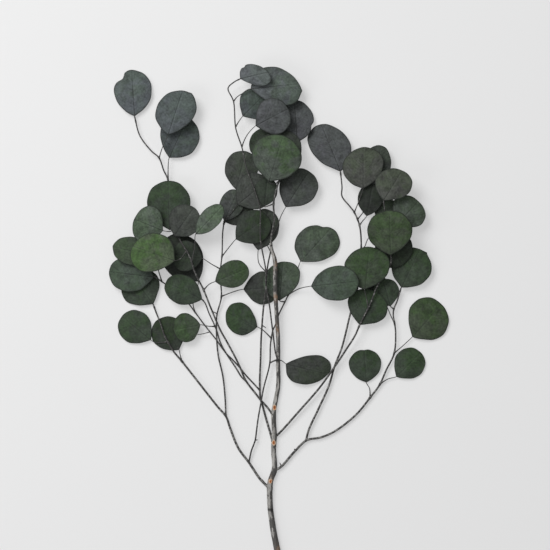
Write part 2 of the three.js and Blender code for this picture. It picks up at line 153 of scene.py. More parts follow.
# Twigs, as in the part's source apart from ten blades
TWIGS = {
    "left_outer_twig": Twig(
        carrier="main_stem",
        wood=[
            Wood((3.4, 1.9), [
                (-11, -230, 3), (-24, -218, 3), (-39, -196, 2.8), (-53, -177, 2.4), (-64, -150, 2.4),
                (-69, -136, 2.6), (-80, -123, 2.6), (-109, -86, 3.6), (-127, -63, 5), (-137, -51, 5.8),
                (-149, -30, 6.6), (-154, -15, 6.6), (-160, 0, 5), (-164, 11, 3.5),
            ]),
            Wood((1.9, 1.7), [(-17, -225, 3.4), (-22, -218, 4.4)]),
        ],
        leaves=[
            Leaf([(-147, -39, 6.2), (-161, -39, 5), (-167, -36, 4)], (-205, -5, 1.2), 43, "pine", flush=0.5),
            Leaf([(-127, -63, 5), (-129, -54, 4.6), (-130, -49, 4)], (-157, -9, 2), 43, "shadow", flush=0.9),
            Leaf([(-162, 6, 4.2), (-164, 11, 3.5)], (-194, 51, 1.5), 52, "pine", flush=0.5),
        ],
    ),
    "left_climbing_twig": Twig(
        carrier="left_outer_twig",
        wood=[
            Wood((2.2, 1.7), [
                (-69, -136, 2.6), (-70, -114, 3), (-73, -84, 3), (-79, -57, 2.8), (-81, -36, 2.6),
                (-81, -5, 3), (-75, 20, 5), (-76, 42, 7), (-76, 56, 8), (-74, 74, 9.6),
                (-73, 105, 9.8), (-71, 119, 9.8),
            ]),
            Wood((1.2, 1), [(-81, -1, 3), (-86, 1, 3.6)]),
        ],
        leaves=[
            Leaf([(-76, 56, 8), (-88, 63, 10), (-99, 70, 12)], (-139, 76, 13), 40, "shadow"),
            Leaf([(-75, 20, 5), (-64, 25, 4), (-52, 29, 3), (-46, 30, 2.5)], (0, 33, 1.6), 43, "smoke"),
            Leaf([(-74, 73, 9.6), (-66, 83, 12), (-56, 95, 14)], (-14, 124, 15.4), 43, "shadow", flush=0.7),
            Leaf([(-72, 116, 9.8), (-71, 119, 10.4)], (-53, 159, 9.2), 31, "ash"),
            Leaf([(-72, 115, 9.8), (-70, 117, 8.6)], (-35, 140, 5), 31, "smoke"),
            Leaf([(-71, 119, 9.8), (-62, 129, 12), (-54, 140, 13.6)], (-14, 172, 14.8), 48, "dusk", flush=0),
            Leaf([(-66, 124, 10.6), (-59, 142, 8), (-56, 160, 5.6)], (-43, 210, 3.4), 43, "dusk"),
        ],
    ),
    "crossing_twig": Twig(
        carrier="left_outer_twig",
        wood=[
            Wood((2.1, 1.8), [
                (-39, -195, 2.8), (-36, -181, 4), (-31, -167, 4.6), (-29, -153, 5.4), (-27, -138, 6.4),
                (-24, -121, 7.6), (-20, -99, 7.2), (-12, -67, 6.2), (-11, -42, 4.6), (-8, -24, 3.2),
                (-4, -15, 2.3), (-1, -5, 2.3), (6, 10, 2.8), (14, 26, 3),
            ]),
            Wood((1.2, 1), [(-31, -167, 4.6), (-28, -166, 5.2)]),
        ],
        leaves=[
            Leaf([(-10, -33, 4), (-21, -23, 3.3), (-28, -19, 3)],
                 (-69, 0, 2), 40, "pine", lean=-0.15, flush=0.8),
            Leaf([(7, 14, 2.8), (1, 15, 4.6)], (5, 66, 5.4), 48, "sea", lean=-0.2),
            Leaf([(13, 24, 3), (27, 31, 7), (41, 34, 12.5)], (103, 41, 25), 45, "willow"),
            Leaf([(13, 25, 3), (21, 45, 2), (26, 61, 3.5), (28, 66, 4.4)],
                 (68, 110, 2), 52, "sea", notch=(0.39, 0.1), lean=-0.2),
        ],
    ),
    "straight_twig": Twig(
        carrier="main_stem",
        wood=[
            Wood((3, 1.9), [
                (-8, -174, 2.8), (-12, -155, 2.4), (-17, -138, 1.9), (-21, -123, 1.7),
                (-24, -113, 1.7), (-25, -91, 2.6), (-24, -64, 4.2), (-23, -32, 6.6), (-20, 7, 9.2),
                (-17, 30, 10.2), (-16, 49, 10.4), (-14, 64, 9.4), (-10, 82, 7.2),
            ]),
            Wood((1.2, 1), [(-22, -18, 7.4), (-17, -20, 8)]),
        ],
        leaves=[
            Leaf([(-16, 51, 10.4), (-26, 64, 10), (-27, 81, 10)], (-14, 134, 9.4), 40, "dusk"),
            Leaf([(-11, 80, 7.4), (-15, 87, 6.4)], (-21, 132, 4.6), 35, "smoke"),
        ],
    ),
    "left_low_twig": Twig(
        carrier="straight_twig",
        wood=[
            Wood((2.1, 1.5), [
                (-25, -102, 2.1), (-32, -94, 2.8), (-44, -81, 3.2), (-51, -72, 4.2), (-61, -61, 6.4),
                (-69, -53, 7.6), (-82, -35, 8), (-90, -25, 7.4), (-98, -15, 6.3), (-112, 4, 5.7),
                (-118, 12, 5.5), (-131, 27, 5.6), (-148, 37, 6.6), (-162, 47, 8),
            ]),
            Wood((1.2, 0.9), [(-90, -25, 7.4), (-99, -28, 6.4), (-106, -29, 5.6)]),
        ],
        leaves=[
            Leaf([(-157, 44, 7.6), (-162, 46, 8)], (-221, 53, 8), 46, "willow"),
            Leaf([(-152, 40, 6.9), (-158, 58, 11), (-165, 73, 14)], (-216, 86, 14.5), 36, "fern", point=0.1),
            Leaf([(-110, 1, 5.7), (-112, 14, 4.6), (-105, 40, 3.6)], (-144, 99, 2.4), 53, "dark_in_shadow"),
        ],
    ),
    "left_tall_twig": Twig(
        carrier="main_stem",
        wood=[
            Wood((2.7, 1.7), [
                (-9, -134, 2.9), (-15, -124, 4), (-24, -114, 4.9), (-31, -105, 5.3), (-43, -89, 6.4),
                (-53, -66, 9), (-66, -41, 11), (-76, -23, 12.4), (-88, 5, 14.4), (-98, 30, 16.3),
                (-109, 52, 18), (-116, 73, 18), (-128, 93, 14.4), (-138, 112, 9.4), (-144, 140, 8),
                (-144, 171, 8), (-150, 185, 8), (-156, 201, 8), (-166, 210, 8), (-181, 230, 7),
                (-188, 255, 5.6),
            ]),
        ],
        leaves=[
            Leaf([(-98, 30, 16.3), (-90, 37, 14.4), (-83, 40, 13)], (-40, 58, 12), 35, "fern", flush=0.6),
            Leaf([(-113, 66, 18), (-109, 85, 20), (-108, 101, 22)], (-73, 138, 30), 26, "sage", flush=0.3),
            Leaf([(-119, 80, 17), (-127, 70, 23), (-134, 67, 27)],
                 (-189, 86, 28.5), 53, "fresh", lean=0.15, flush=0.8),
            Leaf([(-130, 97, 13.2), (-136, 99, 19)], (-110, 136, 25), 42, "dusk", flush=0),
            Leaf([(-136, 108, 10.6), (-142, 105, 15), (-150, 106, 17.6)],
                 (-187, 121, 25), 49, "sage", flush=0.3),
            Leaf([(-139, 113, 9.2), (-142, 107, 12)], (-144, 171, 14), 56, "pine", flush=0.6),
            Leaf([(-144, 173, 8), (-144, 193, 7), (-143, 201, 6)],
                 (-118, 255, 2.4), 53, "storm", lean=0.1, flush=0.2),
            Leaf([(-156, 201, 8), (-154, 207, 9.4), (-151, 215, 12), (-144, 230, 15.4)],
                 (-125, 288, 15), 50, "slate", lean=-0.15, nib=(-0.5, 0.05), flush=0.1),
            Leaf([(-186, 250, 5.8), (-188, 255, 5.4)],
                 (-192, 316, 0.7), 49, "slate", notch=(0.72, 0.22, 0.32), nib=(0.42, 0.05), flush=0.2),
        ],
    ),
    "left_short_twig": Twig(
        carrier="left_tall_twig",
        wood=[
            Wood((2.1, 1.6), [
                (-42, -90, 6.2), (-48, -85, 5.8), (-57, -71, 5), (-69, -53, 4.5), (-76, -40, 5),
                (-81, -24, 6), (-85, -14, 6.8), (-91, -1, 8), (-96, 12, 9), (-100, 17, 9.4),
            ]),
        ],
        leaves=[
            Leaf([(-84, -19, 6.4), (-92, -18, 8.4), (-102, -16, 9.2)], (-137, -23, 9), 38, "fern", flush=0.6),
            Leaf([(-99, 15, 9.2), (-100, 17, 9.4)], (-147, 40, 10), 38, "pine", flush=0.5),
        ],
    ),
    "centre_twig": Twig(
        carrier="crossing_twig",
        wood=[
            Wood((1.7, 1.5), [(-12, -66, 6.2), (-6, -63, 8.2), (-1, -62, 8.9)]),
            Wood((2, 1.6), [
                (-1, -62, 8.9), (-4, -55, 9), (-6, -41, 9.2), (-10, -9, 11), (-12, 7, 12.4),
                (-17, 38, 15.2), (-17, 54, 16.6), (-22, 82, 19.6), (-24, 95, 20.8), (-24, 120, 22.2),
                (-24, 132, 22.6), (-31, 157, 22.2), (-42, 187, 19.6), (-48, 214, 17), (-56, 239, 15),
                (-59, 274, 13), (-66, 291, 13.6), (-58, 299, 15.4), (-50, 303, 17),
            ]),
        ],
        leaves=[
            Leaf([(-1, -62, 8.9), (4, -63, 8.4), (9, -67, 7)],
                 (64, -81, 2), 42, "dusk", lean=0.34, flush=0.3),
            Leaf([(-54, 301, 16), (-50, 303, 17)],
                 (-14, 311, 24), 32, "mist", notch=(1.96, 0.12), lean=-0.45, flush=0),
            Leaf([(-59, 274, 13), (-54, 280, 13.6), (-46, 285, 14.4), (-37, 290, 15)],
                 (26, 296.5, 15), 52, "mist", lean=-0.3, nib=(-0.35, 0.06)),
            Leaf([(-56, 240, 15), (-52, 248, 14), (-47, 255, 12.4)], (-18, 284, 9), 43, "storm"),
            Leaf([(-48, 215, 17), (-44, 225, 18), (-39, 233, 19), (-30, 242, 20)],
                 (12, 264, 22), 48, "pewter", flush=0),
        ],
    ),
    "leader_twig": Twig(
        carrier="main_stem",
        wood=[
            Wood((2.6, 1.8), [
                (-10, 86, 15), (-10, 99, 16.4), (-6, 120, 18.4), (-7, 140, 20.4), (-4, 157, 21.4),
                (1, 172, 20.4), (9, 186, 14), (17, 202, 10.6), (24, 221, 8.6),
            ]),
        ],
        leaves=[
            Leaf([(-10, 97, 16.2), (-1, 115, 14), (3, 126, 13), (9, 137, 12)],
                 (39, 184, 8), 49, "ash", lean=-0.05, flush=0.1),
            Leaf([(-7, 140, 20.4), (-19, 137, 19)], (-15, 175, 18.4), 30, "shadow", flush=0.1),
            Leaf([(0, 170, 20.8), (-6, 166, 25), (-13, 169, 29)],
                 (5, 228, 33), 65, "sea", nib=(0, 0.03), flush=0.7),
            Leaf([(3, 177, 18.6), (9, 181, 17)], (-5, 236, 14), 57, "smoke"),
            Leaf([(15, 198, 11.4), (4, 207, 8.6), (-9, 215, 7.4)], (-37, 227, 6.4), 36, "shadow"),
            Leaf([(22, 218, 8.9), (24, 221, 8.4)],
                 (20, 277, 0.9), 47, "pewter", notch=(-1.96, 0.1), lean=0.1, flush=0),
        ],
    ),
    "right_outer_twig": Twig(
        carrier="main_stem",
        wood=[
            Wood((3.4, 1.7), [
                (-6, -207, 3), (2, -202, 3.2), (20, -182, 3.2), (36, -167, 3.4), (55, -163, 3.2),
                (73, -155, 3), (101, -133, 3), (119, -111, 3), (131, -95, 3.3), (140, -75, 3.7),
                (150, -54, 4.5), (152, -26, 5.6), (149, 1, 6.2), (154, 15, 6.8), (159, 32, 8),
            ]),
            Wood((1.3, 1.1), [(3, -201, 3.2), (1, -196, 4.4)]),
            Wood((1.3, 1.1), [(22, -180, 3.2), (20, -178, 4.2)]),
        ],
        leaves=[
            Leaf([(119, -111, 3), (118, -99, 3), (114, -92, 3)],
                 (111, -48, 1.2), 42, "pine", notch=(0, 0.08), flush=0.6),
            Leaf([(132, -94, 3.3), (142, -87, 3), (153, -84, 3)], (185, -52, 1.2), 40, "ivy", flush=0.6),
            Leaf([(150, -54, 4.5), (160, -45, 4), (174, -32, 3.5)],
                 (212, 11, 1.3), 56, "moss", lean=0.06, flush=0.7),
            Leaf([(150, -14, 5.9), (146, -5, 5.2), (141, 7, 3.6)], (118, 42, 1.4), 42, "dark_in_shadow"),
            Leaf([(149, 4, 6.3), (145, 8, 6.2)], (135, 43, 5), 34, "pine"),
            Leaf([(158, 28, 7.8), (159, 32, 8.4)], (183, 82, 8.4), 53, "ivy", nib=(-0.36, 0.1), flush=0.5),
        ],
    ),
    "right_inner_twig": Twig(
        carrier="right_outer_twig",
        wood=[
            Wood((2.9, 1.7), [
                (35, -168, 3.4), (39, -153, 3.8), (51, -127, 4), (65, -96, 4), (73, -69, 4.2),
                (82, -46, 4.6), (93, -2, 5.6), (100, 23, 6.6), (103, 35, 8), (105, 58, 9.6),
                (107, 84, 10), (105, 112, 10), (98, 130, 10), (92, 138, 10), (82, 151, 10),
                (82, 163, 10), (80, 183, 9.6),
            ]),
        ],
        leaves=[
            Leaf([(98, 130, 10), (102, 140, 12), (109, 160, 17)],
                 (109, 214, 19), 53, "olive", lean=-0.1, flush=0.3),
            Leaf([(105, 113, 10), (109, 119, 11), (114, 125, 12)], (122, 167, 11), 32, "dark_in_shadow"),
            Leaf([(107, 82, 10), (111, 85, 9.8), (116, 96, 9), (131, 112, 7.6)],
                 (156, 142, 5.4), 44, "shadow"),
            Leaf([(102, 120, 10), (111, 133, 8.4), (116, 155, 8.6)], (133, 217, 9.2), 39, "ash"),
            Leaf([(80, 179, 9.7), (80, 183, 9.4)], (55, 245, 0.8), 51, "pewter", lean=0.2, flush=0),
        ],
    ),
    "right_upper_twig": Twig(
        carrier="main_stem",
        wood=[
            Wood((2.9, 1.5), [
                (-6, -163, 3), (2, -156, 3.8), (27, -128, 5), (53, -98, 6.6), (73, -70, 8),
                (89, -46, 9.2), (99, -30, 10.4), (105, -16, 12), (110, -6, 12.8), (119, 12, 14),
                (128, 35, 15.2), (139, 52, 17), (145, 64, 20), (143, 88, 22), (139, 118, 23),
                (135, 145, 23.4),
            ]),
        ],
        leaves=[
            Leaf([(104, -19, 11.6), (105, -16, 10)], (124, 28, 9.6), 53, "pine", flush=0.6),
            Leaf([(116, 6, 13.6), (114, 17, 15.6), (111, 29, 18)],
                 (117, 85, 22), 58, "fern", lean=-0.08, flush=0.7),
            Leaf([(145, 63, 19.8), (145, 69, 23.6), (144, 74, 26.6)], (142, 132, 31), 58, "moss", flush=0.6),
            Leaf([(142, 94, 22.2), (138, 99, 18), (135, 106, 15)], (160, 61, 12.6), 51, "shadow", point=0.06),
            Leaf([(141, 103, 22.6), (147, 112, 18), (154, 115, 14)], (181, 145, 12), 47, "sea"),
            Leaf([(135, 141, 23.4), (135, 145, 23.4)], (159, 184, 26), 46, "olive", lean=-0.15, flush=0.3),
        ],
    ),
}

# Colours of the blades as the eye sees them, in 0 to 255, from middle colours measured on the photo. The two
# darkest tones hold painted shade: they are as dark as blades that lie in shadow.
# A script picked the tone of half of the blades, by their mean colours in a render and in the photo
TONES = {
    "frost": (91, 99, 103),
    "mist": (85, 91, 92),
    "slate": (81, 88, 90),
    "pewter": (74, 77, 79),
    "storm": (70, 77, 78),
    "ash": (67, 71, 69),
    "olive": (73, 76, 71),
    "sage": (85, 96, 85),
    "fresh": (77, 91, 68),
    "sea": (73, 82, 73),
    "willow": (67, 78, 69),
    "moss": (64, 75, 58),
    "fern": (60, 72, 56),
    "ivy": (57, 69, 55),
    "pine": (53, 64, 52),
    "dusk": (61, 65, 61),
    "smoke": (54, 58, 54),
    "shadow": (46, 54, 45),
    "dark_in_shadow": (37, 42, 37),
}

# Places along the bark, in millimetres: brown ones by x, y and reach, dark ones by y, reach and strength; the
# dark stretches are partly darker bark and partly painted shade where the stem lay in shadow
BROWN_PATCHES = [(-4, 64, 8), (-4, -22, 7), (2, -308, 7), (-15, -219, 6), (-3, 20, 6)]
DARK_AND_SHADED_STRETCHES = [
    (-290, 30, 0.75), (-211, 8, 0.7), (-144, 16, 0.4), (-80, 20, 0.5), (-22, 34, 0.9), (40, 24, 0.8),
]
BARK_RING = -257
BARK_RING_REACH = 2.1

# Fixed colours of the materials, in linear light
PLAIN = (1.0, 1.0, 1.0)
CLEAR_BLADE = (0.96, 0.96, 0.94)
UNDERSIDE = (0.12, 0.13, 0.12)
SOOT = (0.012, 0.012, 0.012)
RING_LINE = (0.05, 0.03, 0.02)
SKY = (0.98, 0.985, 1.0)

# Side veins of a blade: distance apart in millimetres, slope and curve, the rest in shares of the distance
VEIN_APART = 4.8
VEIN_SLOPE = 0.62
VEIN_CURVE = 0.014
VEIN_HALF = 0.14
VEIN_WANDER = 2.2
VEIN_OFFSET = 0.23

# Bands on a blade: the midrib in millimetres from its line, the edge and rim as shares of the way outwards;
# the edge band is painted shade, and the rim line is a dark margin deepened with painted shade
MIDRIB_BAND = (0.25, 0.85)
EDGE_SHADE_BAND = (0.7, 1.0)
RIM_BAND = (0.94, 0.975)

# Strength of the marks that lie over the colour of blades and bark, some of them painted shade
FIBRE_TONE = 0.65
SPOT_SHARE = 0.3
VEIN_SHARE = 0.3
EDGE_SHADE_SHARE = 0.14
RIM_AND_SHADE_SHARE = 0.72
UNDER_SHARE = 0.4
FURROW_SHARE = 0.55
WEATHER_AND_SHADE_SHARE = 0.85
WORN_SHARE = 0.85
RING_SHARE = 0.3

# Noise by its scale in cells a metre, its detail and its roughness
WANDERING = (70, 3.0)
VEIN_GAPS = (130, 2.0)
RIB_GAPS = (150, 2.0)
DRIFTING = (68, 4.0, 0.6)
SPOTS = (95, 3.0, 0.6)
WEATHERING = (230, 4.0, 0.65)
WEAR = (330, 3.0, 0.6)
RAGGED = (420, 3.0)


def linear(rgb):
    """Turns a colour in 0 to 255 into linear light."""
    return tuple((c / 255 / 12.92) if c < 11 else ((c / 255 + 0.055) / 1.055) ** 2.4 for c in rgb)


def bell(distance, reach):
    """1 in the middle, dying away round it."""
    return math.exp(-((distance / reach) ** 2))


def clamped(value):
    """The value kept between 0 and 1."""
    return max(0, min(1, value))


def colour(name, rgb, description):
    """A colour property with its default given in 0 to 255."""
    return bpy.props.FloatVectorProperty(
        name=name, description=description, subtype="COLOR", size=3, min=0, max=1, default=linear(rgb)
    )


def length(name, millimetres, description):
    """A length property with its default given in millimetres."""
    return bpy.props.FloatProperty(
        name=name, description=description, unit="LENGTH", min=0, precision=5, default=millimetres * MM
    )


def part_of(name, default, description):
    """A property between 0 and 1."""
    return bpy.props.FloatProperty(name=name, description=description, min=0, max=1, default=default)


class BranchForm(bpy.types.PropertyGroup):
    """Sizes of the fine forms."""

    blade_thickness: length("Blade thickness", 0.4, "Thickness of a leaf blade")
    crease: length("Midrib crease", 0.3, "Depth of the groove over the midrib")
    ripple: length("Rim ripple", 0.3, "Height of the small waves round a blade's rim")
    pucker: length("Pucker", 0.5, "Height of the unevenness between the veins")
    bark_relief: length("Bark relief", 0.22, "Height of the ridges of the stem's bark")
    knot: part_of("Knots", 0.35, "Extra thickness where a stalk leaves a twig")


class BranchColours(bpy.types.PropertyGroup):
    """Colours of the wood and of what the leaves share."""

    bark: colour("Bark", (166, 164, 160), "Weathered pale grey of the main stem")
    bark_streak: colour("Bark streaks", (60, 59, 58), "Dark furrows and patches of the main stem")
    bark_patch: colour("Bark patches", (140, 116, 96), "Brown places where the bark is thin")
    scar: colour("Scars", (136, 78, 38), "Wood inside a pruning scar")
    scar_ring: colour("Scar rings", (172, 106, 60), "Brighter wood round the middle of a scar")
    scar_lip: colour("Scar lips", (206, 186, 164), "Pale lip round a pruning scar")
    cut: colour("Cut end", (196, 172, 138), "Bare wood at the cut end")
    twig: colour("Twigs", (57, 56, 55), "Dark bark of the twigs")
    twig_light: colour("Twig highlights", (132, 131, 128), "Worn places on the twigs")
    flush: colour("Green flush", (219, 255, 190), "Tint of the fresher green places")
    bloom: colour("Bloom", (255, 250, 255), "Tint of the waxy greyer places")
    rib: colour("Midrib", (30, 33, 31), "Dark line over the midrib")
    rim: colour("Rim", (34, 37, 34), "Thin dark line round a blade")


class LeafTones(bpy.types.PropertyGroup):
    """The main colour of each kind of blade."""

    __annotations__ = {
        tone: colour(tone.capitalize(), rgb, f"Main colour of the {tone} blades")
        for tone, rgb in TONES.items()
    }


class StudioSettings(bpy.types.PropertyGroup):
    """Floor, lights and camera."""

    floor: colour("Floor", (233, 233, 233), "Colour of the pale floor")
    glow: part_of("Glow", 0.5, "Share of the floor's brightness that no shadow takes away")
    key: part_of("Key light", 0.55, "Share of the light from the window at the upper left")
    side: part_of("Side light", 0.12, "Share of the light from the lower left")
    top: part_of("Top light", 0.12, "Share of the light from above the camera")
    fill: part_of("Fill", 0.21, "Share of the even light all round")
    camera_height: length("Camera height", 2500, "Height of the camera over the leaves")


class Route:
    """A smooth line through given places: a centripetal Catmull-Rom curve."""

    def __init__(self, places):
        self.places = [Vector(place[:3]) for place in places]

    def point(self, share):
        """The place at a share, 0 to 1, of the stretches between the given places."""
        p = self.places
        last = len(p) - 1
        at = min(int(share * last), last - 1)
        rest = share * last - at
        before = p[at - 1] if at > 0 else 2 * p[0] - p[1]
        after = p[at + 2] if at + 2 <= last else 2 * p[last] - p[last - 1]
        start, end = p[at], p[at + 1]
        gaps = [math.sqrt((b - a).length) or 1.0 for a, b in ((before, start), (start, end), (end, after))]
        leave = (start - before) / gaps[0] - (end - before) / (gaps[0] + gaps[1]) + (end - start) / gaps[1]
        arrive = (end - start) / gaps[1] - (after - start) / (gaps[1] + gaps[2]) + (after - end) / gaps[2]
        leave *= gaps[1]
        arrive *= gaps[1]
        bend = -3 * start + 3 * end - 2 * leave - arrive
        twist = 2 * start - 2 * end + leave + arrive
        return start + leave * rest + bend * rest**2 + twist * rest**3

    def direction(self, share, step=1e-4):
        """The way the line runs at a share of it."""
        return (self.point(min(share + step, 1)) - self.point(max(share - step, 0))).normalized()

    def span(self):
        """Its length, measured over the given places."""
        return sum((b - a).length for a, b in zip(self.places, self.places[1:]))

    def samples(self, per_stretch=12):
        """Shares spread along the line."""
        count = len(self.places) * per_stretch
        return [i / count for i in range(count + 1)]


def nearest_on(routes, place):
    """The point of the routes that lies nearest to a place."""
    points = (route.point(share) for route in routes for share in route.samples())
    return min(points, key=lambda point: (point - place).length)


def share_near(route, place):
    """The share of a route that lies nearest to a place."""
    return min(route.samples(), key=lambda share: (route.point(share) - place).length)


def wood_routes(name):
    """The routes of a twig's wood: the first starts in what carries it, the others in the first."""
    twig = TWIGS[name]
    carrier = [Route(MAIN_STEM)]
    if twig.carrier != "main_stem":
        carrier = [Route(wood.route) for wood in TWIGS[twig.carrier].wood]
    own = []
    for wood in twig.wood:
        start = nearest_on(own or carrier, Vector(wood.route[0]))
        own.append(Route([start, *wood.route[1:]]))
    return own


def edge_reach(angle, leaf):
    """How far the rim stands from the blade's middle at an angle, 0 at the tip, for a blade 2 wide."""
    from_tip = abs(angle)
    reach = 1 + CUSP * math.exp((from_tip - math.pi) / CUSP_SPREAD)
    reach += leaf.point * math.exp(-from_tip / POINT_SPREAD)
    if leaf.nib:
        place, height = leaf.nib
        reach += height * math.exp(-abs(angle - place) / NIB_SPREAD)
    if leaf.notch:
        place, depth, spread = (*leaf.notch, NOTCH_SPREAD)[:3]
        reach -= depth * bell(angle - place, spread)
    return reach


class Blade:
    """A leaf blade's middle surface, in millimetres."""

    def __init__(self, leaf):
        self.leaf = leaf
        self.base = Vector(leaf.stalk[-1])
        axis = Vector(leaf.tip) - self.base
        self.length = axis.length
        self.axis = axis.normalized()
        self.side = UP.cross(self.axis).normalized()
        self.facing = self.axis.cross(self.side)
        self.phase = leaf.tip[0] * 0.31 + leaf.tip[1] * 0.17

    def spot(self, radius, angle):
        """Shares across and along the blade at a place of the unit disc."""
        reach = radius * edge_reach(angle, self.leaf)
        across = reach * math.sin(angle)
        along = (reach * math.cos(angle) + 1 + CUSP) / (2 + CUSP + self.leaf.point)
        return across, along + self.leaf.lean * across / 2

    def height(self, radius, angle):
        """The solids' gentle arch, cup and wave."""
        across, along = self.spot(radius, angle)
        width = self.leaf.width
        return (
            ARCH * self.length * 4 * along * (1 - along)
            + CUP * width * across * across / 2
            + WAVE * width * radius * radius * math.sin(3 * angle + self.phase)
        )

    def place(self, radius, angle):
        """The place of a spot of the unit disc on the middle surface."""
        across, along = self.spot(radius, angle)
        return (
            self.base
            + self.axis * along * self.length
            + self.side * across * self.leaf.width / 2
            + self.facing * self.height(radius, angle)
        )


def stalk_route(leaf, routes):
    """A stalk's line, from inside the twig to inside the blade."""
    inside = (1 - 2 * STALK_REACH) * (1 + CUSP)
    end = Blade(leaf).place(inside, math.pi)
    return Route([nearest_on(routes, Vector(leaf.stalk[0])), *leaf.stalk[1:], end])


def bent_tube(bm, route, radius_at, sides, step, relief=None):
    """Wood along a route: a cylinder cut into rings and bent to it. Returns the share of each vertex."""
    placed = bm.verts.layers.int["placed"]
    rings = max(3, round(route.span() / step))
    bmesh.ops.create_cone(bm, cap_ends=True, cap_tris=True, segments=sides, radius1=1, radius2=1, depth=1)
    fresh = [edge for edge in bm.edges if not edge.verts[0][placed]]
    lengthwise = [edge for edge in fresh if abs(edge.verts[0].co.z - edge.verts[1].co.z) > 0.5]
    bmesh.ops.subdivide_edges(bm, edges=lengthwise, cuts=rings - 1, use_grid_fill=True)
    frames = {}
    shares = {}
    for vert in [vert for vert in bm.verts if not vert[placed]]:
        ring = round((vert.co.z + 0.5) * rings)
        if ring not in frames:
            share = ring / rings
            forward = route.direction(share)
            side = forward.cross(UP).normalized()
            frames[ring] = (route.point(share), side, side.cross(forward), radius_at(share), share)
        centre, side, over, radius, share = frames[ring]
        out = side * vert.co.x + over * vert.co.y
        if relief:
            radius += relief(centre + out * radius, math.atan2(vert.co.y, vert.co.x)) * out.length
        vert.co = (centre + out * radius + ORIGIN_SHIFT) * MM
        vert[placed] = 1
        shares[vert] = share
    return shares


def knotted(thick, knots, flare, swell, span, knot_reach=2.4):
    """A taper with a swelling at each knot, a share of the route, and a flare at the foot."""
    flare_much, flare_reach = flare

    def radius_at(share):
        radius = (thick[0] + (thick[1] - thick[0]) * share) / 2
        extra = flare_much * bell(share * span, flare_reach)
        for knot in knots:
            extra += swell * bell((share - knot) * span, knot_reach)
        return radius * (1 + extra)

    return radius_at


def mesh_with(**layers):
    """An empty bmesh, and its vertex layers by name. One more layer marks what is in place."""
    bm = bmesh.new()
    bm.verts.layers.int.new("placed")
    return bm, {name: getattr(bm.verts.layers, kind).new(name) for name, kind in layers.items()}


def finished(bm, name, nodes, materials):
    """Makes the mesh a piece of the branch that stands for some of the frame's nodes."""
    bm.verts.layers.int.remove(bm.verts.layers.int["placed"])
    bmesh.ops.recalc_face_normals(bm, faces=bm.faces)
    for face in bm.faces:
        face.smooth = True
    mesh = bpy.data.meshes.new(name)
    bm.to_mesh(mesh)
    bm.free()
    for material in materials:
        mesh.materials.append(material)
    piece = bpy.data.objects.new(name, mesh)
    bpy.context.scene.collection.objects.link(piece)
    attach(piece, BODY)
    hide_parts(*nodes)


class Signal:
    """What a node puts out, which can be added, taken away, multiplied and divided by."""

    def __init__(self, bench, socket):
        self.bench = bench
        self.socket = socket

    def __add__(self, other):
        return self.bench.math("ADD", self, other)

    def __sub__(self, other):
        return self.bench.math("SUBTRACT", self, other)

    def __rsub__(self, other):
        return self.bench.math("SUBTRACT", other, self)

    def __mul__(self, other):
        return self.bench.math("MULTIPLY", self, other)

    def __truediv__(self, other):
        return self.bench.math("DIVIDE", self, other)

    def __abs__(self):
        return self.bench.math("ABSOLUTE", self)


class Bench:
    """Adds nodes to a node tree and joins them."""

    def __init__(self, tree):
        self.tree = tree
        tree.nodes.clear()

    def add(self, kind, inputs=None, **settings):
        """A new node with its settings and inputs."""
        made = self.tree.nodes.new(kind)
        for name, value in settings.items():
            setattr(made, name, value)
        for name, value in (inputs or {}).items():
            self.feed(made.inputs[name], value)
        return made

    def feed(self, socket, value):
        """Gives a socket a signal or a fixed value."""
        if isinstance(value, Signal):
            self.tree.links.new(value.socket, socket)
        else:
            socket.default_value = value

    def outputs(self, node):
        """What a node puts out, by name."""
        return {socket.name: Signal(self, socket) for socket in node.outputs}

    def math(self, operation, a, b=0.0):
        """A sum of one or two values."""
        made = self.add("ShaderNodeMath", operation=operation)
        self.feed(made.inputs[0], a)
        self.feed(made.inputs[1], b)
        return Signal(self, made.outputs[0])

    def mix(self, share, under, over, blend="MIX"):
        """A share of one colour over another."""
        made = self.add("ShaderNodeMix", data_type="RGBA", blend_type=blend)
        by_name = {socket.identifier: socket for socket in made.inputs}
        self.feed(by_name["Factor_Float"], share)
        for name, value in (("A_Color", under), ("B_Color", over)):
            self.feed(by_name[name], value if isinstance(value, Signal) else (*value, 1))
        return next(Signal(self, socket) for socket in made.outputs if socket.identifier == "Result_Color")

    def shaded(self, under, over):
        """Two colours multiplied."""
        return self.mix(1.0, under, over, "MULTIPLY")

    def coated(self, tint, *coats):
        """A colour with others laid over it, each with its share."""
        for share, coat in coats:
            tint = self.mix(share, tint, coat)
        return tint

    def noise(self, vector, scale, detail=2.0, roughness=0.5):
        """Noise with its middle at 0.5. The scale is in cells a metre where the vector is a place."""
        inputs = {"Vector": vector, "Scale": scale, "Detail": detail, "Roughness": roughness}
        made = self.add("ShaderNodeTexNoise", inputs)
        return Signal(self, made.outputs["Fac"])

    def between(self, value, low, high):
        """0 at low, 1 at high, smooth between them."""
        inputs = {"Value": value, "From Min": low, "From Max": high}
        made = self.add("ShaderNodeMapRange", inputs, interpolation_type="SMOOTHSTEP")
        return Signal(self, made.outputs["Result"])

    def attribute(self, name, output="Fac"):
        """A vertex layer of the mesh."""
        return Signal(self, self.add("ShaderNodeAttribute", attribute_name=name).outputs[output])

    def object_place(self, scale=(1, 1, 1)):
        """The place on the object, in metres, drawn out where the scale is under 1."""
        place = self.outputs(self.add("ShaderNodeTexCoord"))["Object"]
        return self.outputs(self.add("ShaderNodeMapping", {"Vector": place, "Scale": scale}))["Vector"]

    def effect(self, name, **inputs):
        """What the shared node group of that name puts out. The group is built once."""
        group = bpy.data.node_groups.get(name) or EFFECTS[name]()
        given = {title.replace("_", " ").title(): value for title, value in inputs.items()}
        return self.outputs(self.add("ShaderNodeGroup", given, node_tree=group))


